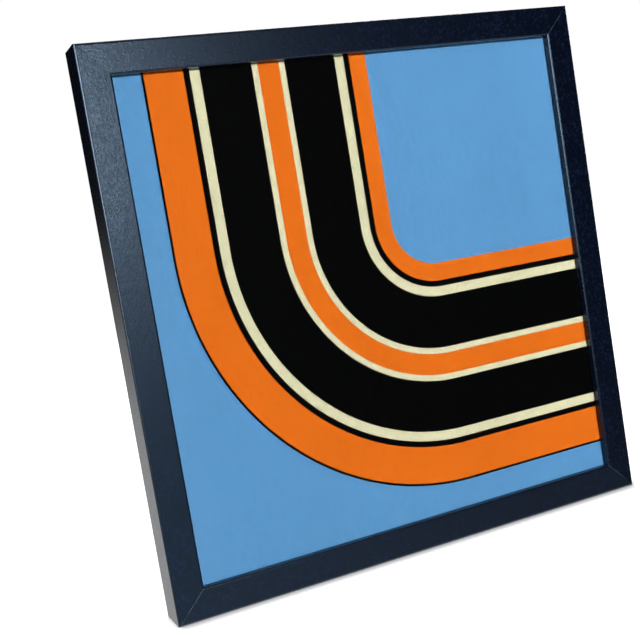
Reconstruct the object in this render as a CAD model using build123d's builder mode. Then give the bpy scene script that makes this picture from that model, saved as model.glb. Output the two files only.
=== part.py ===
from build123d import *
import math
import os

os.makedirs("parts", exist_ok=True)

# A square wall frame for a 12 inch record sleeve.
# Row frame: +X to the right seen from the front, +Y into the wall, +Z up.
# Origin: middle of the bottom edge, halfway through the depth.
# Section coordinates used below: u runs inward from the outside edge of the
# moulding, v runs back from its front face.

# ------------------------------------------------------------ driving sizes
outer = 343.0  # outside of the square frame, 13.5 in
face_w = 19.0  # width of the moulding seen from the front
depth = 25.0  # front face to rear rim
lip_t = 5.0  # front lip, from the face to the glass seat
rebate_u = 12.25  # wall outside the glass, leaves a 318.5 mm square rebate
ledge_v = 18.0  # ledge that carries the turn buttons
rim_w = 4.5  # rear rim that stands on the wall
front_r = 1.5  # rounded outer edge of the face
sight_r = 1.2  # rounded edge around the picture
rear_c = 0.5  # broken rear edges
mitre_w = 0.12  # half width of the groove where two lengths meet
mitre_d = 0.12

glass_w = 317.5
glass_t = 2.0
insert_w = 317.0
insert_t = 0.5
pad_w = 316.5
pad_t = 3.6
board_w = 316.5
board_t = 3.0

pivot_u = 8.375  # turn button pivots, on the middle of the ledge
pivot_s = 85.0  # each side of the middle of every rail
button_gap = 0.05
button_t = 1.2
button_r = 3.4  # round end about the pivot
button_tip_r = 2.3
button_len = 15.0  # pivot to tip
button_lift = 1.3  # the tip turns up for a fingernail
button_hole_r = 1.53

screw_r = 1.45
screw_len = 9.0  # below the ledge
screw_head_r = 2.9
screw_head_h = 1.9
recess_w = 0.8
recess_r = 1.75
recess_d = 1.1

nail_leg = 4.8
nail_t = 0.6
nail_h = 9.0
nail_at = (5.5, 8.8)  # u of each wedge nail's apex, on the ledge

hanger_w = 46.0
hanger_h = 9.0
hanger_t = 0.9
hanger_rise = 2.5  # gap for the head of the wall nail
hanger_foot = 9.5
hanger_slope = 2.6
tooth_pitch = 3.0
tooth_d = 1.5
tooth_n = 7
hanger_top_gap = 16.0  # board's top edge to the strip's top edge
rivet_r = 1.5
rivet_head_r = 2.8
rivet_head_h = 1.1
rivet_clinch_r = 2.6
rivet_clinch_t = 0.8

# ------------------------------------------------------------ derived places
half = outer / 2
y_front = -depth / 2
mid_z = half


def y_at(v):
    """Depth v behind the front face, as a row Y."""
    return y_front + v


glass_v = lip_t
insert_v = glass_v + glass_t
pad_a_v = insert_v + insert_t
pad_b_v = pad_a_v + pad_t
board_v = pad_b_v + pad_t
board_back = board_v + board_t
button_v = ledge_v + button_gap
head_v = button_v + button_t + button_gap

# each side of the frame: the corner it starts from and the way it runs.
# turning the outline a quarter turn about the middle carries one to the next
sides = {
    "bottom": ((-half, y_front, 0), (1, 0, 0), (0, 0, 1)),
    "right": ((half, y_front, 0), (0, 0, 1), (-1, 0, 0)),
    "top": ((half, y_front, outer), (-1, 0, 0), (0, 0, -1)),
    "left": ((-half, y_front, outer), (0, 0, -1), (1, 0, 0)),
}


def along(side, t, v, u):
    """Row point at t along a side, v behind the face and u in from the edge."""
    o, d, n = sides[side]
    return tuple(o[i] + d[i] * t + n[i] * u + (v if i == 1 else 0) for i in range(3))


def dome_mid(r, low, top):
    """Point half way along a dome of radius r that rises from low to top."""
    h = top - low
    ball = (r * r + h * h) / (2 * h)
    half_angle = math.asin(r / ball) / 2
    return (ball * math.sin(half_angle), top - ball + ball * math.cos(half_angle))


# ------------------------------------------------------------ corner nails
# two bent steel wedge nails hold each mitre, driven from the ledge
nail_corners = []
for side in sides:
    o, d, n = sides[side]
    for a in nail_at:
        nail_corners.append((side, a))

with BuildPart() as corner_nails:
    for side, a in nail_corners:
        o, d, n = sides[side]
        # plane over the corner: local x along the side, local y inward,
        # its normal points out of the front face
        with BuildSketch(Plane(origin=along(side, 0, ledge_v, 0), x_dir=d, z_dir=(0, -1, 0))):
            with Locations((a, a)):
                Rectangle(nail_leg, nail_t, align=(Align.MIN, Align.MIN))
                Rectangle(nail_t, nail_leg, align=(Align.MIN, Align.MIN))
        extrude(amount=nail_h)
corner_nails.part.label = "corner_nails"


# ------------------------------------------------------------ screws
def screw_places():
    return [
        (side, t)
        for side in sides
        for t in (half - pivot_s, half + pivot_s)
    ]


with BuildPart() as turn_button_screws:
    for side, t in screw_places():
        # revolved about the pivot line: local x out from it, local y along -v
        o, d, n = sides[side]
        p = along(side, t, ledge_v, pivot_u)
        with BuildSketch(Plane(origin=p, x_dir=d, z_dir=n)) as prof:
            # local y is z_dir x x_dir = n x d, which is +Y here (rearward)
            with BuildLine():
                top = head_v + screw_head_h - ledge_v
                base = head_v - ledge_v
                Polyline(
                    (0, top),
                    (0, -screw_len),
                    (0.35, -screw_len + 0.2),
                    (screw_r, -screw_len + 2.6),
                    (screw_r, base),
                    (screw_head_r, base),
                    (screw_head_r, base + 0.7),
                )
                ThreePointArc(
                    (screw_head_r, base + 0.7),
                    dome_mid(screw_head_r, base + 0.7, top),
                    (0, top),
                )
            make_face()
        revolve(axis=Axis(p, (0, 1, 0)))
        with BuildSketch(
            Plane(origin=along(side, t, head_v + screw_head_h, pivot_u), x_dir=d, z_dir=(0, 1, 0))
        ):
            Rectangle(recess_w, 2 * recess_r, rotation=20)
            Rectangle(2 * recess_r, recess_w, rotation=20)
        extrude(amount=-recess_d, taper=12, mode=Mode.SUBTRACT)
turn_button_screws.part.label = "turn_button_screws"


# ------------------------------------------------------------ the moulding
def rail(side, label):
    o, d, n = sides[side]
    with BuildPart() as r:
        # section, local x back from the face and local y inward
        with BuildSketch(Plane(origin=o, x_dir=(0, 1, 0), z_dir=d)) as sec:
            with BuildLine():
                Polyline(
                    (0, 0),
                    (depth, 0),
                    (depth, rim_w),
                    (ledge_v, rim_w),
                    (ledge_v, rebate_u),
                    (lip_t, rebate_u),
                    (lip_t, face_w),
                    (0, face_w),
                    close=True,
                )
            make_face()
            fillet(sec.vertices().group_by(Axis.X)[0].sort_by(Axis.Y)[0], front_r)
            fillet(sec.vertices().sort_by_distance((0, face_w))[0], sight_r)
            chamfer(sec.vertices().sort_by_distance((depth, 0))[0], rear_c)
            chamfer(sec.vertices().sort_by_distance((depth, rim_w))[0], rear_c)
        extrude(amount=outer)
        # mitred ends
        with BuildSketch(Plane(origin=o, x_dir=d, z_dir=(0, -1, 0))):
            with BuildLine():
                Polyline(
                    (0, 0),
                    (outer, 0),
                    (outer - face_w, face_w),
                    (face_w, face_w),
                    close=True,
                )
            make_face()
        extrude(amount=-depth, mode=Mode.INTERSECT)
        # fine groove along each mitre on the face
        for end, s in ((0, 1), (outer, -1)):
            c = along(side, end, 0, 0)
            run = Vector(*d) * s + Vector(*n)
            back = Vector(*c) - run.normalized() * 2
            with BuildSketch(
                Plane(origin=back, x_dir=(0, 1, 0), z_dir=run.normalized())
            ):
                with BuildLine():
                    Polyline(
                        (-1, -mitre_w * (1 + 1 / mitre_d)),
                        (mitre_d, 0),
                        (-1, mitre_w * (1 + 1 / mitre_d)),
                        close=True,
                    )
                make_face()
            extrude(amount=face_w * math.sqrt(2) + 4, mode=Mode.SUBTRACT)
        add(corner_nails.part, mode=Mode.SUBTRACT)
        # screw holes in the ledge
        for t in (half - pivot_s, half + pivot_s):
            p = along(side, t, ledge_v, pivot_u)
            with BuildSketch(Plane(origin=p, x_dir=d, z_dir=n)):
                with BuildLine():
                    Polyline(
                        (0, 0),
                        (0, -screw_len),
                        (0.35, -screw_len + 0.2),
                        (screw_r, -screw_len + 2.6),
                        (screw_r, 0),
                        close=True,
                    )
                make_face()
            revolve(axis=Axis(p, (0, 1, 0)), mode=Mode.SUBTRACT)
    r.part.label = label
    return r


top_rail = rail("top", "top_rail")
bottom_rail = rail("bottom", "bottom_rail")
left_rail = rail("left", "left_rail")
right_rail = rail("right", "right_rail")


# ------------------------------------------------------------ the pack
def sheet_plane(v):
    return Plane(origin=(0, y_at(v), mid_z), x_dir=(1, 0, 0), z_dir=(0, 1, 0))


with BuildPart() as glass_pane:
    with BuildSketch(sheet_plane(glass_v)):
        Rectangle(glass_w, glass_w)
    extrude(amount=glass_t)
    chamfer(glass_pane.edges().filter_by(Axis.Y), 0.8)
glass_pane.part.label = "glass_pane"

with BuildPart() as display_insert:
    with BuildSketch(sheet_plane(insert_v)):
        Rectangle(insert_w, insert_w)
    extrude(amount=insert_t)
display_insert.part.label = "display_insert"

with BuildPart() as filler_pad_front:
    with BuildSketch(sheet_plane(pad_a_v)):
        RectangleRounded(pad_w, pad_w, 2)
    extrude(amount=pad_t)
filler_pad_front.part.label = "filler_pad_front"

with BuildPart() as filler_pad_rear:
    with BuildSketch(sheet_plane(pad_b_v)):
        RectangleRounded(pad_w, pad_w, 2)
    extrude(amount=pad_t)
filler_pad_rear.part.label = "filler_pad_rear"

hanger_z = mid_z + board_w / 2 - hanger_top_gap - hanger_h / 2
rivet_x = hanger_w / 2 - hanger_foot / 2

with BuildPart() as backing_board:
    with BuildSketch(sheet_plane(board_v)):
        RectangleRounded(board_w, board_w, 1.5)
    extrude(amount=board_t)
    for x in (-rivet_x, rivet_x):
        with BuildSketch(Plane(origin=(x, y_at(board_v), hanger_z), x_dir=(1, 0, 0), z_dir=(0, 1, 0))):
            Circle(rivet_clinch_r)
        extrude(amount=rivet_clinch_t, mode=Mode.SUBTRACT)
        with BuildSketch(Plane(origin=(x, y_at(board_v), hanger_z), x_dir=(1, 0, 0), z_dir=(0, 1, 0))):
            Circle(rivet_r)
        extrude(amount=board_t, mode=Mode.SUBTRACT)
backing_board.part.label = "backing_board"

# ------------------------------------------------------------ hanger
# bent strip: feet flat on the board, the middle stands off it, and the
# lower edge of the middle is toothed so that the frame can be levelled
with BuildPart() as sawtooth_hanger:
    foot_x = hanger_w / 2
    in_x = foot_x - hanger_foot
    flat_x = in_x - hanger_slope
    # seen from above: local x is row X, local y is row Y
    with BuildSketch(
        Plane(origin=(0, y_at(board_back), hanger_z - hanger_h / 2), x_dir=(1, 0, 0), z_dir=(0, 0, 1))
    ) as strip:
        with BuildLine():
            FilletPolyline(
                (-foot_x, hanger_t / 2),
                (-in_x, hanger_t / 2),
                (-flat_x, hanger_rise + hanger_t / 2),
                (flat_x, hanger_rise + hanger_t / 2),
                (in_x, hanger_t / 2),
                (foot_x, hanger_t / 2),
                radius=0.9,
            )
            offset(amount=hanger_t / 2, kind=Kind.ARC)
        make_face()
        # square the strip's ends
        with Locations((0, hanger_rise)):
            Rectangle(hanger_w, 4 * hanger_rise, mode=Mode.INTERSECT)
    extrude(amount=hanger_h)
    # rounded corners of the feet
    fillet(sawtooth_hanger.edges().filter_by(Axis.Y).group_by(SortBy.LENGTH)[-1], 1.5)
    # teeth
    with BuildSketch(
        Plane(origin=(0, y_at(board_back) - 1, hanger_z - hanger_h / 2), x_dir=(1, 0, 0), z_dir=(0, -1, 0))
    ):
        for k in range(tooth_n):
            x = (k - (tooth_n - 1) / 2) * tooth_pitch
            with Locations((x, 0)):
                Polygon(
                    (-tooth_pitch / 2 + 0.15, -0.5),
                    (tooth_pitch / 2 - 0.15, -0.5),
                    (tooth_pitch / 2 - 0.15, 0),
                    (0.25, tooth_d),
                    (-0.25, tooth_d),
                    (-tooth_pitch / 2 + 0.15, 0),
                    align=None,
                )
    extrude(amount=-8, mode=Mode.SUBTRACT)
    for x in (-rivet_x, rivet_x):
        with BuildSketch(Plane(origin=(x, y_at(board_back), hanger_z), x_dir=(1, 0, 0), z_dir=(0, 1, 0))):
            Circle(rivet_r)
        extrude(amount=hanger_t, mode=Mode.SUBTRACT)
sawtooth_hanger.part.label = "sawtooth_hanger"

with BuildPart() as hanger_rivets:
    for x in (-rivet_x, rivet_x):
        p = (x, y_at(board_v), hanger_z)
        seat = board_t + hanger_t
        top = seat + rivet_head_h
        # local x out from the rivet's axis, local y rearward
        with BuildSketch(Plane(origin=p, x_dir=(1, 0, 0), z_dir=(0, 0, 1))):
            with BuildLine():
                Polyline(
                    (0, top),
                    (0, 0),
                    (rivet_clinch_r, 0),
                    (rivet_clinch_r, rivet_clinch_t),
                    (rivet_r, rivet_clinch_t),
                    (rivet_r, seat),
                    (rivet_head_r, seat),
                    (rivet_head_r, seat + 0.25),
                )
                ThreePointArc(
                    (rivet_head_r, seat + 0.25),
                    dome_mid(rivet_head_r, seat + 0.25, top),
                    (0, top),
                )
            make_face()
        revolve(axis=Axis(p, (0, 1, 0)))
hanger_rivets.part.label = "hanger_rivets"

# ------------------------------------------------------------ turn buttons
# stamped steel, round about the pivot, with a nose that reaches over the
# backing board and turns up at the tip


def turn_button(side, t, label):
    o, d, n = sides[side]
    p = along(side, t, button_v, pivot_u)
    with BuildPart() as b:
        # side view: local x inward along the nose, local y rearward
        with BuildSketch(Plane(origin=p, x_dir=n, z_dir=Vector(*n).cross(Vector(0, 1, 0)))):
            with BuildLine():
                FilletPolyline(
                    (-button_r - 1, button_t / 2),
                    (button_len - 4.6, button_t / 2),
                    (button_len + 1, button_t / 2 + button_lift * 1.3),
                    radius=2.5,
                )
                offset(amount=button_t / 2, kind=Kind.ARC)
            make_face()
        extrude(amount=button_r + 1, both=True)
        with BuildSketch(Plane(origin=p, x_dir=n, z_dir=(0, 1, 0))):
            Circle(button_r)
            with Locations((button_len - button_tip_r, 0)):
                Circle(button_tip_r)
            make_hull()
        extrude(amount=6, both=True, mode=Mode.INTERSECT)
        with BuildSketch(Plane(origin=p, x_dir=n, z_dir=(0, 1, 0))):
            Circle(button_hole_r)
        extrude(amount=6, both=True, mode=Mode.SUBTRACT)
    b.part.label = label
    return b


places = {
    "turn_button_bottom_left": ("bottom", half - pivot_s),
    "turn_button_bottom_right": ("bottom", half + pivot_s),
    "turn_button_right_lower": ("right", half - pivot_s),
    "turn_button_right_upper": ("right", half + pivot_s),
    "turn_button_top_right": ("top", half - pivot_s),
    "turn_button_top_left": ("top", half + pivot_s),
    "turn_button_left_upper": ("left", half - pivot_s),
    "turn_button_left_lower": ("left", half + pivot_s),
}
buttons = [turn_button(side, t, name) for name, (side, t) in places.items()]

# ------------------------------------------------------------ written files
for piece in [
    top_rail,
    bottom_rail,
    left_rail,
    right_rail,
    corner_nails,
    glass_pane,
    display_insert,
    filler_pad_front,
    filler_pad_rear,
    backing_board,
    turn_button_screws,
    sawtooth_hanger,
    hanger_rivets,
    *buttons,
]:
    export_step(piece.part, "parts/" + piece.part.label + ".step")
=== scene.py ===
import math

import bmesh
import bpy
from mathutils import Matrix, Vector

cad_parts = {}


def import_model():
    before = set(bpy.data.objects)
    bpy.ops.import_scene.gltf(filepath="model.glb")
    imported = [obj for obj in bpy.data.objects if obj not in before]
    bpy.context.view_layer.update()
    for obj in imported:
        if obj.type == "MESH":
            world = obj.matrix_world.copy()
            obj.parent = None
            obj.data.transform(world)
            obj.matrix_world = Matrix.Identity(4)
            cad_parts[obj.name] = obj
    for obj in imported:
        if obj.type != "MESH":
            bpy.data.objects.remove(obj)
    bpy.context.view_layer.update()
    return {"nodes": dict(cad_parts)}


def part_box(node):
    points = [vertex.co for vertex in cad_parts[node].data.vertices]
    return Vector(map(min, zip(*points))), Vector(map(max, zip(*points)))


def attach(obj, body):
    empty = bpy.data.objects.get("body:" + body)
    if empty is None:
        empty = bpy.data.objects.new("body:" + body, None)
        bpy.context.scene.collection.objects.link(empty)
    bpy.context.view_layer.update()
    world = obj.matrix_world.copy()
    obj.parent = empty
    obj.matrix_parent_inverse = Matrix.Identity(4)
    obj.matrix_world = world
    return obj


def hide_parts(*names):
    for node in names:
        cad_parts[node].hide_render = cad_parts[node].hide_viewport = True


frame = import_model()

nodes = frame["nodes"]
scene = bpy.context.scene
scene.view_settings.view_transform = "Standard"
scene.view_settings.look = "None"
scene.view_settings.exposure = 0.0
scene.view_settings.gamma = 1.0

MM = 0.001
OUTER = 343 * MM
HALF = OUTER / 2
DEPTH = 25 * MM
FRONT = -DEPTH / 2
BACK = DEPTH / 2


# ------------------------------------------------------------------ camera
def camera():
    right = Vector((0.90178, -0.40047, -0.16253)).normalized()
    view = Vector((0.39121, 0.91619, -0.08690)).normalized()
    up = right.cross(view).normalized()
    right = view.cross(up).normalized()
    data = bpy.data.cameras.new("camera")
    cam = bpy.data.objects.new("camera", data)
    scene.collection.objects.link(cam)
    data.sensor_width = 36
    data.lens = 57.19
    data.clip_start, data.clip_end = 0.01, 100
    place = Vector(
        ((-0.36878 - 0.5) * OUTER, FRONT - 1.69212 * OUTER, 0.63408 * OUTER)
    )
    cam.matrix_world = Matrix.Translation(place) @ Matrix(
        (
            (right.x, up.x, -view.x),
            (right.y, up.y, -view.y),
            (right.z, up.z, -view.z),
        )
    ).to_4x4()
    scene.camera = cam
    return cam


camera()


# ------------------------------------------------------------------ node writing
class Net:
    """A short way to write a material's nodes."""

    def __init__(self, name):
        self.mat = bpy.data.materials.new(name)
        self.mat.use_nodes = True
        self.tree = self.mat.node_tree
        self.tree.nodes.clear()
        self.out = self.tree.nodes.new("ShaderNodeOutputMaterial")
        self.coord = self.tree.nodes.new("ShaderNodeTexCoord")
        self.place = self.coord.outputs["Object"]

    def new(self, kind):
        return self.tree.nodes.new(kind)

    def put(self, socket, value):
        if isinstance(value, bpy.types.NodeSocket):
            self.tree.links.new(value, socket)
        elif value is not None:
            if hasattr(socket.default_value, "__len__") and len(socket.default_value) == 4 and len(value) == 3:
                value = (*value, 1)
            socket.default_value = value

    def math(self, op, a, b=None, c=None, clamp=False):
        n = self.new("ShaderNodeMath")
        n.operation = op
        n.use_clamp = clamp
        self.put(n.inputs[0], a)
        self.put(n.inputs[1], b)
        self.put(n.inputs[2], c)
        return n.outputs[0]

    def add(self, a, b):
        return self.math("ADD", a, b)

    def sub(self, a, b):
        return self.math("SUBTRACT", a, b)

    def mul(self, a, b):
        return self.math("MULTIPLY", a, b)

    def low(self, a, b):
        return self.math("MINIMUM", a, b)

    def high(self, a, b):
        return self.math("MAXIMUM", a, b)

    def span(self, x, a, b, lo=0.0, hi=1.0, smooth=True):
        """Goes from lo to hi as x goes from a to b."""
        n = self.new("ShaderNodeMapRange")
        n.interpolation_type = "SMOOTHSTEP" if smooth else "LINEAR"
        self.put(n.inputs["Value"], x)
        n.inputs["From Min"].default_value = a
        n.inputs["From Max"].default_value = b
        n.inputs["To Min"].default_value = lo
        n.inputs["To Max"].default_value = hi
        return n.outputs["Result"]

    def band(self, x, centre, half, soft):
        """1 within half of centre, falling to 0 over soft."""
        return self.span(self.math("ABSOLUTE", self.sub(x, centre)), half, half + soft, 1, 0)

    def xyz(self, v):
        n = self.new("ShaderNodeSeparateXYZ")
        self.put(n.inputs[0], v)
        return n.outputs[0], n.outputs[1], n.outputs[2]

    def join(self, x, y, z):
        n = self.new("ShaderNodeCombineXYZ")
        self.put(n.inputs[0], x)
        self.put(n.inputs[1], y)
        self.put(n.inputs[2], z)
        return n.outputs[0]

    def scaled(self, v, s, turn=(0, 0, 0), move=(0, 0, 0)):
        n = self.new("ShaderNodeMapping")
        self.put(n.inputs["Vector"], v)
        n.inputs["Scale"].default_value = s
        n.inputs["Rotation"].default_value = turn
        n.inputs["Location"].default_value = move
        return n.outputs[0]

    def noise(self, v, scale, detail=2.0, rough=0.5, warp=0.0, colour=False):
        n = self.new("ShaderNodeTexNoise")
        self.put(n.inputs["Vector"], v)
        n.inputs["Scale"].default_value = scale
        n.inputs["Detail"].default_value = detail
        n.inputs["Roughness"].default_value = rough
        n.inputs["Distortion"].default_value = warp
        return n.outputs["Color" if colour else "Fac"]

    def cells(self, v, scale, feature="F1", out="Distance", random=1.0):
        n = self.new("ShaderNodeTexVoronoi")
        n.feature = feature
        self.put(n.inputs["Vector"], v)
        n.inputs["Scale"].default_value = scale
        n.inputs["Randomness"].default_value = random
        return n.outputs[out]

    def mix(self, f, a, b):
        n = self.new("ShaderNodeMix")
        n.data_type = "RGBA"
        n.clamp_factor = True
        self.put(n.inputs[0], f)
        self.put(n.inputs[6], a)
        self.put(n.inputs[7], b)
        return n.outputs[2]

    def ramp(self, f, stops, kind="LINEAR"):
        n = self.new("ShaderNodeValToRGB")
        n.color_ramp.interpolation = kind
        e = n.color_ramp.elements
        while len(e) > 1:
            e.remove(e[-1])
        for i, (at, col) in enumerate(stops):
            el = e[0] if i == 0 else e.new(at)
            el.position = at
            el.color = (*col, 1)
        self.put(n.inputs[0], f)
        return n.outputs[0]

    def bump(self, height, strength, distance, normal=None):
        n = self.new("ShaderNodeBump")
        n.inputs["Strength"].default_value = strength
        n.inputs["Distance"].default_value = distance
        self.put(n.inputs["Height"], height)
        self.put(n.inputs["Normal"], normal)
        return n.outputs[0]

    def principled(self, **inputs):
        n = self.new("ShaderNodeBsdfPrincipled")
        for k, v in inputs.items():
            self.put(n.inputs[k.replace("_", " ")], v)
        return n

    def end(self, shader):
        self.tree.links.new(shader.outputs[0], self.out.inputs["Surface"])
        return self.mat


def wear_and_highlight_coordinates(n):
    """For the frame: distances in millimetres in from the outer edge, across and up, and back from the face."""
    x, y, z = n.xyz(n.place)
    a = n.sub(HALF * 1000, n.mul(n.math("ABSOLUTE", x), 1000))
    b = n.low(n.mul(z, 1000), n.sub(OUTER * 1000, n.mul(z, 1000)))
    v = n.mul(n.sub(y, FRONT), 1000)
    return a, b, v


# ------------------------------------------------------------------ moulding
def moulding(name, along, rough, lift=1.0):
    """Satin blue-black plastic with a fine pressed grain that runs along the rail."""
    n = Net(name)
    a, b, v = wear_and_highlight_coordinates(n)
    s = {"X": (0.30, 1, 1), "Z": (1, 1, 0.30)}[along]
    grain_v = n.scaled(n.place, s)
    streaks = n.noise(grain_v, 900, 3, 0.6)
    mottle = n.noise(n.place, 520, 2, 0.55)
    fleck = n.noise(n.place, 800, 2, 0.6)
    cloud = n.noise(n.place, 60, 2, 0.5)
    tone = n.add(
        n.add(n.mul(streaks, 0.26), n.mul(mottle, 0.38)),
        n.add(n.mul(fleck, 0.24), n.mul(cloud, 0.12)),
    )
    tone = n.span(tone, 0.40, 0.60, 0, 1, smooth=False)
    colour = n.ramp(
        tone,
        [
            (0.0, (0.0000, 0.0001, 0.0008)),
            (0.5, (0.0002, 0.0008, 0.0042)),
            (1.0, (0.0026, 0.0048, 0.0135)),
        ],
    )
    # painted highlight: a lighter hairline along the mitre joint stands in for light caught in the joint, and fades
    # out towards the outer corner
    mitre_highlight = n.mul(
        n.band(n.sub(a, b), 0, 0.12, 0.14),
        n.mul(n.span(v, 0.7, 1.2, 1, 0), n.span(n.low(a, b), 4.5, 8.0)),
    )
    mitre_highlight = n.mul(mitre_highlight, n.span(n.noise(n.place, 240, 2, 0.5), 0.35, 0.6, 0.25, 1))
    # the mitre hairline mixed in here is a painted highlight, not a material of the joint
    colour = n.mix(mitre_highlight, colour, (0.038, 0.055, 0.074, 1))
    # rubbed along the outer edges, a little at the corners
    edge = n.low(a, b)
    rub = n.mul(
        n.span(n.math("ABSOLUTE", n.sub(edge, 0.5)), 0.2, 1.1, 1, 0),
        n.span(v, 0.2, 1.7, 1, 0),
    )
    rub = n.mul(rub, n.span(n.noise(grain_v, 420, 4, 0.7), 0.54, 0.74))
    corner = n.mul(
        n.mul(n.span(n.high(a, b), 2, 22, 1, 0), n.span(edge, 0.0, 2.2, 1, 0)),
        n.span(v, 0.3, 2.0, 1, 0),
    )
    rub = n.high(rub, n.mul(corner, n.span(n.noise(n.place, 900, 3, 0.6), 0.52, 0.68)))
    colour = n.mix(n.mul(rub, 0.4), colour, (0.030, 0.038, 0.050, 1))
    gloss = n.add(n.span(tone, 0, 1, rough + 0.045, rough - 0.045, smooth=False), n.mul(rub, 0.10))
    # the outer sides are smoother than the pressed face
    side = n.mul(n.span(v, 1.4, 2.4), n.span(edge, 0.05, 0.4, 1, 0))
    gloss = n.sub(gloss, n.mul(side, 0.09))
    height = n.add(n.add(n.mul(streaks, 0.40), n.mul(mottle, 0.40)), n.mul(fleck, 0.45))
    height = n.mul(n.sub(height, 0.625), n.sub(1, n.mul(side, 0.7)))
    p = n.principled(
        Base_Color=colour,
        Roughness=gloss,
        IOR=1.5,
        Specular_Tint=(0.54 * lift, 0.76 * lift, lift, 1),
        Normal=n.bump(height, 1.0, 0.00011),
    )
    return n.end(p)


# ------------------------------------------------------------------ glass
def clear_glass():
    """Clear sheet glass: it mirrors a little, and lets the rest through with a faint green tint."""
    n = Net("glass")
    smear = n.noise(n.scaled(n.place, (1, 1, 0.6), turn=(0, 0.5, 0)), 22, 3, 0.6)
    film = n.span(smear, 0.45, 0.85, 0.004, 0.035, smooth=False)
    glossy = n.new("ShaderNodeBsdfAnisotropic")
    n.put(glossy.inputs["Roughness"], film)
    clear = n.new("ShaderNodeBsdfTransparent")
    tint = n.ramp(smear, [(0.2, (0.985, 0.996, 0.990)), (0.9, (0.975, 0.989, 0.982))])
    n.put(clear.inputs["Color"], tint)
    # the same on both faces of the sheet: a mirror strength that climbs towards grazing
    facing = n.new("ShaderNodeLayerWeight")
    facing.inputs["Blend"].default_value = 0.5
    strength = n.add(n.mul(n.math("POWER", facing.outputs["Facing"], 5), 0.90), 0.04)
    mix = n.new("ShaderNodeMixShader")
    n.put(mix.inputs[0], strength)
    n.tree.links.new(clear.outputs[0], mix.inputs[1])
    n.tree.links.new(glossy.outputs[0], mix.inputs[2])
    return n.end(mix)


# ------------------------------------------------------------------ printed card
def printed_card():
    """Offset print on white card: bold bent stripes on a sky-blue ground."""
    n = Net("printed_card")
    x, y, z = n.xyz(n.place)
    X, Z = n.mul(x, 1000), n.mul(z, 1000)
    cx, cz = 44.0, 214.0
    dx, dz = n.high(n.sub(cx, X), 0), n.high(n.sub(cz, Z), 0)
    r = n.math("SQRT", n.add(n.mul(dx, dx), n.mul(dz, dz)))
    blue = (0.124, 0.338, 0.640)
    black = (0.0012, 0.0012, 0.0014)
    orange = (0.860, 0.176, 0.0125)
    cream = (0.800, 0.745, 0.500)
    top = 200.0
    stripes = n.ramp(
        n.math("DIVIDE", r, top),
        [
            (0.0, blue),
            (30 / top, orange),
            (42 / top, black),
            (46 / top, cream),
            (52 / top, black),
            (86 / top, cream),
            (90 / top, orange),
            (104 / top, cream),
            (108 / top, black),
            (142 / top, cream),
            (148 / top, black),
            (152 / top, orange),
            (176 / top, black),
            (177.6 / top, blue),
        ],
        "CONSTANT",
    )
    # ink on card: a slight mottle, and dust-fine paper grain
    ink = n.noise(n.place, 190, 3, 0.6)
    dots = n.noise(n.place, 2400, 1, 0.5)
    tone = n.add(n.span(ink, 0.3, 0.7, 0.965, 1.02, smooth=False), n.mul(n.sub(dots, 0.5), 0.05))
    shade = n.new("ShaderNodeMix")
    shade.data_type = "RGBA"
    shade.blend_type = "MULTIPLY"
    shade.inputs[0].default_value = 1.0
    n.put(shade.inputs[6], stripes)
    n.put(shade.inputs[7], n.join(tone, tone, tone))
    # the back and the edges of the card are plain
    geometry = n.new("ShaderNodeNewGeometry")
    _, ny, _ = n.xyz(geometry.outputs["Normal"])
    is_front = n.math("LESS_THAN", n.mul(n.sub(y, FRONT), 1000), 7.05)
    fibres = n.noise(n.scaled(n.place, (1, 1, 0.4)), 700, 3, 0.6)
    plain = n.ramp(fibres, [(0.3, (0.70, 0.69, 0.66)), (0.7, (0.80, 0.79, 0.76))])
    colour = n.mix(is_front, plain, shade.outputs[2])
    p = n.principled(
        Base_Color=colour,
        Roughness=n.span(ink, 0.3, 0.7, 0.62, 0.54, smooth=False),
        Normal=n.bump(n.add(n.mul(dots, 0.5), fibres), 0.12, 0.00005),
    )
    p.inputs["Specular IOR Level"].default_value = 0.05
    return n.end(p)


# ------------------------------------------------------------------ card, board, steel
def kraft(name):
    n = Net(name)
    fibre = n.noise(n.scaled(n.place, (1, 1, 0.25)), 900, 4, 0.65)
    fleck = n.noise(n.place, 2200, 2, 0.6)
    cloud = n.noise(n.place, 30, 2, 0.5)
    tone = n.add(n.add(n.mul(fibre, 0.5), n.mul(fleck, 0.25)), n.mul(cloud, 0.25))
    colour = n.ramp(
        tone,
        [(0.30, (0.235, 0.135, 0.066)), (0.5, (0.345, 0.215, 0.112)), (0.7, (0.440, 0.290, 0.165))],
    )
    p = n.principled(
        Base_Color=colour,
        Roughness=n.span(fibre, 0.3, 0.7, 0.92, 0.80, smooth=False),
        Normal=n.bump(tone, 0.5, 0.00012),
    )
    return n.end(p)


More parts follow.
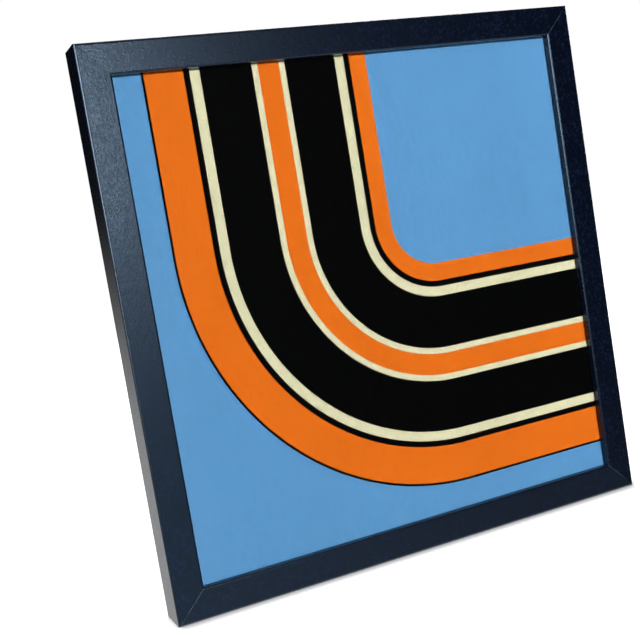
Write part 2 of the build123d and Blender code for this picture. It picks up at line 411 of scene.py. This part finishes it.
def hardboard():
    """Pressed wood fibre, smooth side out, with loose fibres on the sawn edges."""
    n = Net("hardboard")
    x, y, z = n.xyz(n.place)
    # short fibres that lie every way, with no weave
    long_fibre = n.noise(n.place, 430, 5, 0.7, warp=2.4)
    cross_fibre = n.noise(n.scaled(n.place, (1, 1, 1), turn=(0, 0.9, 0), move=(0.3, 0, 0.1)), 760, 4, 0.7, warp=3.0)
    fleck = n.cells(n.place, 760, out="Distance")
    cloud = n.noise(n.place, 16, 3, 0.55)
    tone = n.add(
        n.add(n.mul(n.high(long_fibre, cross_fibre), 0.62), n.mul(cloud, 0.30)),
        n.mul(n.sub(0.5, fleck), 0.12),
    )
    colour = n.ramp(
        tone,
        [
            (0.34, (0.060, 0.030, 0.013)),
            (0.50, (0.125, 0.066, 0.029)),
            (0.62, (0.205, 0.117, 0.055)),
            (0.78, (0.300, 0.185, 0.095)),
        ],
    )
    # sawn edges are paler and rougher
    ex = n.sub(158.25, n.mul(n.math("ABSOLUTE", x), 1000))
    ez = n.sub(158.25, n.math("ABSOLUTE", n.sub(n.mul(z, 1000), 171.5)))
    sawn = n.span(n.low(ex, ez), 0.05, 0.5, 1, 0)
    colour = n.mix(n.mul(sawn, 0.5), colour, (0.33, 0.21, 0.115, 1))
    rough = n.add(n.span(tone, 0.35, 0.75, 0.36, 0.56, smooth=False), n.mul(sawn, 0.3))
    p = n.principled(
        Base_Color=colour,
        Roughness=rough,
        Normal=n.bump(n.add(tone, n.mul(sawn, long_fibre)), 0.35, 0.0001),
    )
    return n.end(p)


def steel(name, base, rough=(0.26, 0.42), brush="X", tarnish=0.3):
    """Plated steel: stamped strip with rolling lines, dull patches and fine pits."""
    n = Net(name)
    s = {"X": (0.08, 1, 1), "Z": (1, 1, 0.08), "N": (1, 1, 1)}[brush]
    lines = n.noise(n.scaled(n.place, s), 4200, 3, 0.6)
    patch = n.noise(n.place, 260, 4, 0.6)
    pits = n.noise(n.place, 1900, 3, 0.65)
    dull = n.span(patch, 0.42, 0.66)
    bright = tuple(base)
    dark = tuple(c * k for c, k in zip(base, (0.66, 0.63, 0.58)))
    colour = n.mix(n.mul(dull, tarnish), (*bright, 1), (*dark, 1))
    colour = n.mix(n.span(lines, 0.35, 0.75, 0, 0.25), colour, (*[c * 0.8 for c in base], 1))
    r = n.add(
        n.span(lines, 0.3, 0.7, rough[0], (rough[0] + rough[1]) / 2, smooth=False),
        n.mul(dull, (rough[1] - rough[0]) * 0.8),
    )
    p = n.principled(
        Base_Color=colour,
        Roughness=r,
        Metallic=1.0,
        Normal=n.bump(n.add(n.mul(lines, 0.6), n.mul(pits, 0.6)), 0.25, 0.00005),
    )
    return n.end(p)


def dress(node, mat):
    o = nodes[node]
    o.data.materials.clear()
    o.data.materials.append(mat)


dress("top_rail", moulding("moulding_top", "X", 0.296))
dress("bottom_rail", moulding("moulding_bottom", "X", 0.366))
dress("left_rail", moulding("moulding_left", "Z", 0.326))
dress("right_rail", moulding("moulding_right", "Z", 0.288))
dress("glass_pane", clear_glass())
dress("display_insert", printed_card())
dress("backing_board", hardboard())
dress("sawtooth_hanger", steel("hanger_steel", (0.62, 0.62, 0.63), brush="X"))
dress("hanger_rivets", steel("rivet_steel", (0.74, 0.74, 0.75), (0.2, 0.34), "N", 0.2))
dress("corner_nails", steel("nail_steel", (0.50, 0.50, 0.51), (0.32, 0.5), "N", 0.45))
dress("turn_button_screws", steel("screw_steel", (0.68, 0.67, 0.64), (0.2, 0.36), "N", 0.35))
button_h = steel("button_steel_across", (0.64, 0.64, 0.65), brush="X")
button_v = steel("button_steel_up", (0.64, 0.64, 0.65), brush="Z")
for name in nodes:
    if name.startswith("turn_button_") and name != "turn_button_screws":
        dress(name, button_v if ("top" in name or "bottom" in name) else button_h)


# ------------------------------------------------------------------ corrugated pads
def mesh_object(name, bm, smooth=None):
    me = bpy.data.meshes.new(name)
    bm.normal_update()
    bm.to_mesh(me)
    bm.free()
    o = bpy.data.objects.new(name, me)
    scene.collection.objects.link(o)
    if smooth is not None:
        me.shade_smooth()
        me.set_sharp_from_angle(angle=math.radians(smooth))
    return o


def closed_prism(bm, outline, z0, z1):
    """The side walls of a prism from an outline of (x, y) points that turns anticlockwise seen from above, with no
    end caps.
    """
    low = [bm.verts.new((px, py, z0)) for px, py in outline]
    high = [bm.verts.new((px, py, z1)) for px, py in outline]
    k = len(outline)
    for i in range(k):
        bm.faces.new((low[i], low[(i + 1) % k], high[(i + 1) % k], high[i]))
    return low, high


def corrugated(name, node):
    """Single-wall corrugated card: two liners and a waved sheet between them, its flutes upright."""
    lo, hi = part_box(node)
    liner, medium, pitch = 0.30 * MM, 0.22 * MM, 7.4 * MM
    bm = bmesh.new()
    edge = 2.0 * MM
    for y0, y1 in ((lo.y, lo.y + liner), (hi.y - liner, hi.y)):
        # a sheet with small rounded corners, cut in the XZ plane
        ring = []
        for cx, cz, a0 in (
            (hi.x - edge, lo.z + edge, -90),
            (hi.x - edge, hi.z - edge, 0),
            (lo.x + edge, hi.z - edge, 90),
            (lo.x + edge, lo.z + edge, 180),
        ):
            for i in range(5):
                t = math.radians(a0 + 22.5 * i)
                ring.append((cx + edge * math.cos(t), cz + edge * math.sin(t)))
        front = [bm.verts.new((px, y0, pz)) for px, pz in ring]
        rear = [bm.verts.new((px, y1, pz)) for px, pz in ring]
        bm.faces.new(front)
        bm.faces.new(list(reversed(rear)))
        k = len(ring)
        for i in range(k):
            bm.faces.new((front[(i + 1) % k], front[i], rear[i], rear[(i + 1) % k]))
    mid = (lo.y + hi.y) / 2
    amp = (hi.y - lo.y) / 2 - liner - medium * 0.62
    x0, x1 = lo.x + 0.6 * MM, hi.x - 0.6 * MM
    steps = int((x1 - x0) / pitch * 12)
    upper, lower = [], []
    for i in range(steps + 1):
        px = x0 + (x1 - x0) * i / steps
        t = 2 * math.pi * (px - x0) / pitch
        py, slope = mid + amp * math.sin(t), amp * 2 * math.pi / pitch * math.cos(t)
        k = medium / 2 / math.hypot(1, slope)
        upper.append((px - slope * k, py + k))
        lower.append((px + slope * k, py - k))
    z0, z1 = lo.z + 0.5 * MM, hi.z - 0.5 * MM
    rows = []
    for z in (z0, z1):
        rows.append(
            (
                [bm.verts.new((*p, z)) for p in upper],
                [bm.verts.new((*p, z)) for p in lower],
            )
        )
    (ul, ll), (uh, lh) = rows
    for i in range(steps):
        bm.faces.new((ul[i], uh[i], uh[i + 1], ul[i + 1]))
        bm.faces.new((ll[i + 1], lh[i + 1], lh[i], ll[i]))
        bm.faces.new((ll[i], ul[i], ul[i + 1], ll[i + 1]))
        bm.faces.new((lh[i + 1], uh[i + 1], uh[i], lh[i]))
    bm.faces.new((ul[0], ll[0], lh[0], uh[0]))
    bm.faces.new((ll[-1], ul[-1], uh[-1], lh[-1]))
    bmesh.ops.recalc_face_normals(bm, faces=bm.faces)
    o = mesh_object(name, bm, 35)
    o.data.materials.append(kraft(name + "_card"))
    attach(o, "frame")
    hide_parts(node)
    return o


corrugated("corrugated_pad_front", "filler_pad_front")
corrugated("corrugated_pad_rear", "filler_pad_rear")


# ------------------------------------------------------------------ stage
def floor():
    """Pale paper. It goes on to the horizon, and darkens only right beside what stands on it."""
    n = Net("stage_floor")
    soft = n.noise(n.place, 3, 2, 0.5)
    # painted contact shadow: an ambient occlusion reading darkens the paper's colour and its glow right beside what
    # stands on it
    touch = n.new("ShaderNodeAmbientOcclusion")
    touch.inputs["Distance"].default_value = 0.011
    touch.samples = 8
    near = n.math("POWER", touch.outputs["AO"], 2.2)
    # the light comes from the left, so hardly any shade falls on that side
    fx, _, _ = n.xyz(n.place)
    near = n.sub(1, n.mul(n.sub(1, near), n.span(fx, -0.176, -0.168, 0.15, 1)))
    tone = n.ramp(soft, [(0.3, (0.82, 0.82, 0.825)), (0.7, (0.83, 0.83, 0.833))])
    away = n.new("ShaderNodeVectorMath")
    away.operation = "LENGTH"
    n.put(away.inputs[0], n.place)
    path = n.new("ShaderNodeLightPath")
    tone = n.mix(path.outputs["Is Camera Ray"], (0.25, 0.25, 0.255, 1), tone)
    p = n.principled(Base_Color=n.mix(near, (0.30, 0.30, 0.31, 1), tone), Roughness=0.9)
    p.inputs["Specular IOR Level"].default_value = 0.0
    p.inputs["Emission Color"].default_value = (1, 1, 1, 1)
    glow = n.mul(n.span(away.outputs["Value"], 0.2, 2.2, 0.62, 0.98), near)
    n.put(p.inputs["Emission Strength"], n.mul(glow, path.outputs["Is Camera Ray"]))
    mat = n.end(p)
    bm = bmesh.new()
    k, size = 40, 9.0
    grid = [
        [bm.verts.new((size * (2 * i / k - 1), size * (2 * j / k - 1), 0)) for j in range(k + 1)]
        for i in range(k + 1)
    ]
    for i in range(k):
        for j in range(k):
            bm.faces.new((grid[i][j], grid[i + 1][j], grid[i + 1][j + 1], grid[i][j + 1]))
    o = mesh_object("stage_floor", bm)
    o.data.materials.append(mat)
    o.visible_glossy = False


floor()


def world():
    w = bpy.data.worlds.new("studio")
    scene.world = w
    w.use_nodes = True
    t = w.node_tree
    t.nodes.clear()

    def node(kind, **inputs):
        n = t.nodes.new(kind)
        for k, v in inputs.items():
            s = n.inputs[int(k[1:])]
            if isinstance(v, bpy.types.NodeSocket):
                t.links.new(v, s)
            else:
                s.default_value = v
        return n

    def math_node(op, a, b):
        n = node("ShaderNodeMath", i0=a, i1=b)
        n.operation = op
        return n.outputs[0]

    def span(x, a, b, lo, hi):
        n = t.nodes.new("ShaderNodeMapRange")
        n.interpolation_type = "SMOOTHSTEP"
        t.links.new(x, n.inputs["Value"])
        for k, v in (("From Min", a), ("From Max", b), ("To Min", lo), ("To Max", hi)):
            n.inputs[k].default_value = v
        return n.outputs["Result"]

    out = t.nodes.new("ShaderNodeOutputWorld")
    path = t.nodes.new("ShaderNodeLightPath")
    seen = node("ShaderNodeBackground", i0=(1, 1, 1, 1))
    light = node("ShaderNodeBackground", i0=(0.12, 0.12, 0.122, 1))
    # what gloss mirrors: white paper behind and below, a dark room in front and above, a pale ceiling
    coord = t.nodes.new("ShaderNodeTexCoord")
    split = node("ShaderNodeSeparateXYZ", i0=coord.outputs["Generated"])
    x, y, z = split.outputs
    behind = span(y, -0.1, 0.35, 0, 1)
    paper = math_node("MULTIPLY", span(z, -0.22, 0.065, 0.90, 0), behind)
    near = math_node(
        "MULTIPLY", span(z, -0.52, -0.32, 1.05, 0), math_node("SUBTRACT", 1.0, behind)
    )
    ceiling = span(z, 0.72, 0.97, 0.0, 0.7)
    # a tall pale strip low in front, a little to the right
    ratio = math_node("DIVIDE", x, math_node("MAXIMUM", math_node("MULTIPLY", y, -1.0), 0.05))
    strip = math_node("MULTIPLY", span(ratio, -0.25, 0.0, 0, 1), span(ratio, 0.19, 0.30, 1, 0))
    strip = math_node("MULTIPLY", strip, math_node("LESS_THAN", y, 0.0))
    strip = math_node("MULTIPLY", strip, span(z, -0.02, 0.06, 1.0, 0))
    strip = math_node("MULTIPLY", strip, span(z, -0.46, -0.36, 0, 1))
    total = math_node("ADD", math_node("ADD", paper, near), ceiling)
    total = math_node("ADD", total, 0.003)
    white = node("ShaderNodeBackground", i0=(1, 1, 1, 1), i1=total)
    blue = node("ShaderNodeBackground", i0=(0.70, 1.05, 1.28, 1), i1=strip)
    mirror = node("ShaderNodeAddShader", i0=white.outputs[0], i1=blue.outputs[0])
    m1 = node("ShaderNodeMixShader", i0=path.outputs["Is Glossy Ray"], i1=light.outputs[0], i2=mirror.outputs[0])
    m2 = node("ShaderNodeMixShader", i0=path.outputs["Is Camera Ray"], i1=m1.outputs[0], i2=seen.outputs[0])
    t.links.new(m2.outputs[0], out.inputs[0])
    w.cycles.sampling_method = "NONE"


world()


def softbox(name, place, aim, size, watts, gloss=True, diffuse=True):
    d = bpy.data.lights.new(name, "AREA")
    d.shape = "RECTANGLE"
    d.size, d.size_y = size
    d.energy = watts
    o = bpy.data.objects.new(name, d)
    scene.collection.objects.link(o)
    o.location = place
    o.rotation_mode = "QUATERNION"
    o.rotation_quaternion = (Vector(aim) - Vector(place)).to_track_quat("-Z", "Y")
    o.visible_camera = False
    o.visible_glossy = gloss
    o.visible_diffuse = diffuse
    return o


softbox("key", (0.10, -2.0, 0.55), (0, 0, 0.25), (0.21, 0.5), 12.5, diffuse=False)
softbox("fill", (-0.62, -2.2, 0.60), (0, 0, 0.17), (0.3, 0.3), 115, gloss=False)
softbox("top", (0.0, -0.5, 2.3), (0, 0, 0), (1.8, 1.8), 9, gloss=False)
softbox("side", (-1.75, -1.15, 0.68), (0, 0, 0.2), (1.3, 0.85), 70, diffuse=False)
softbox("left", (-2.3, -0.45, 0.75), (0, 0, 0.2), (1.0, 0.9), 24, diffuse=False)
softbox("flank", (2.6, 0.75, 0.35), (0, 0, 0.17), (1.0, 1.4), 46, diffuse=False)
softbox("rear", (0.9, 1.8, 1.0), (0, 0, 0.17), (0.9, 0.7), 26)
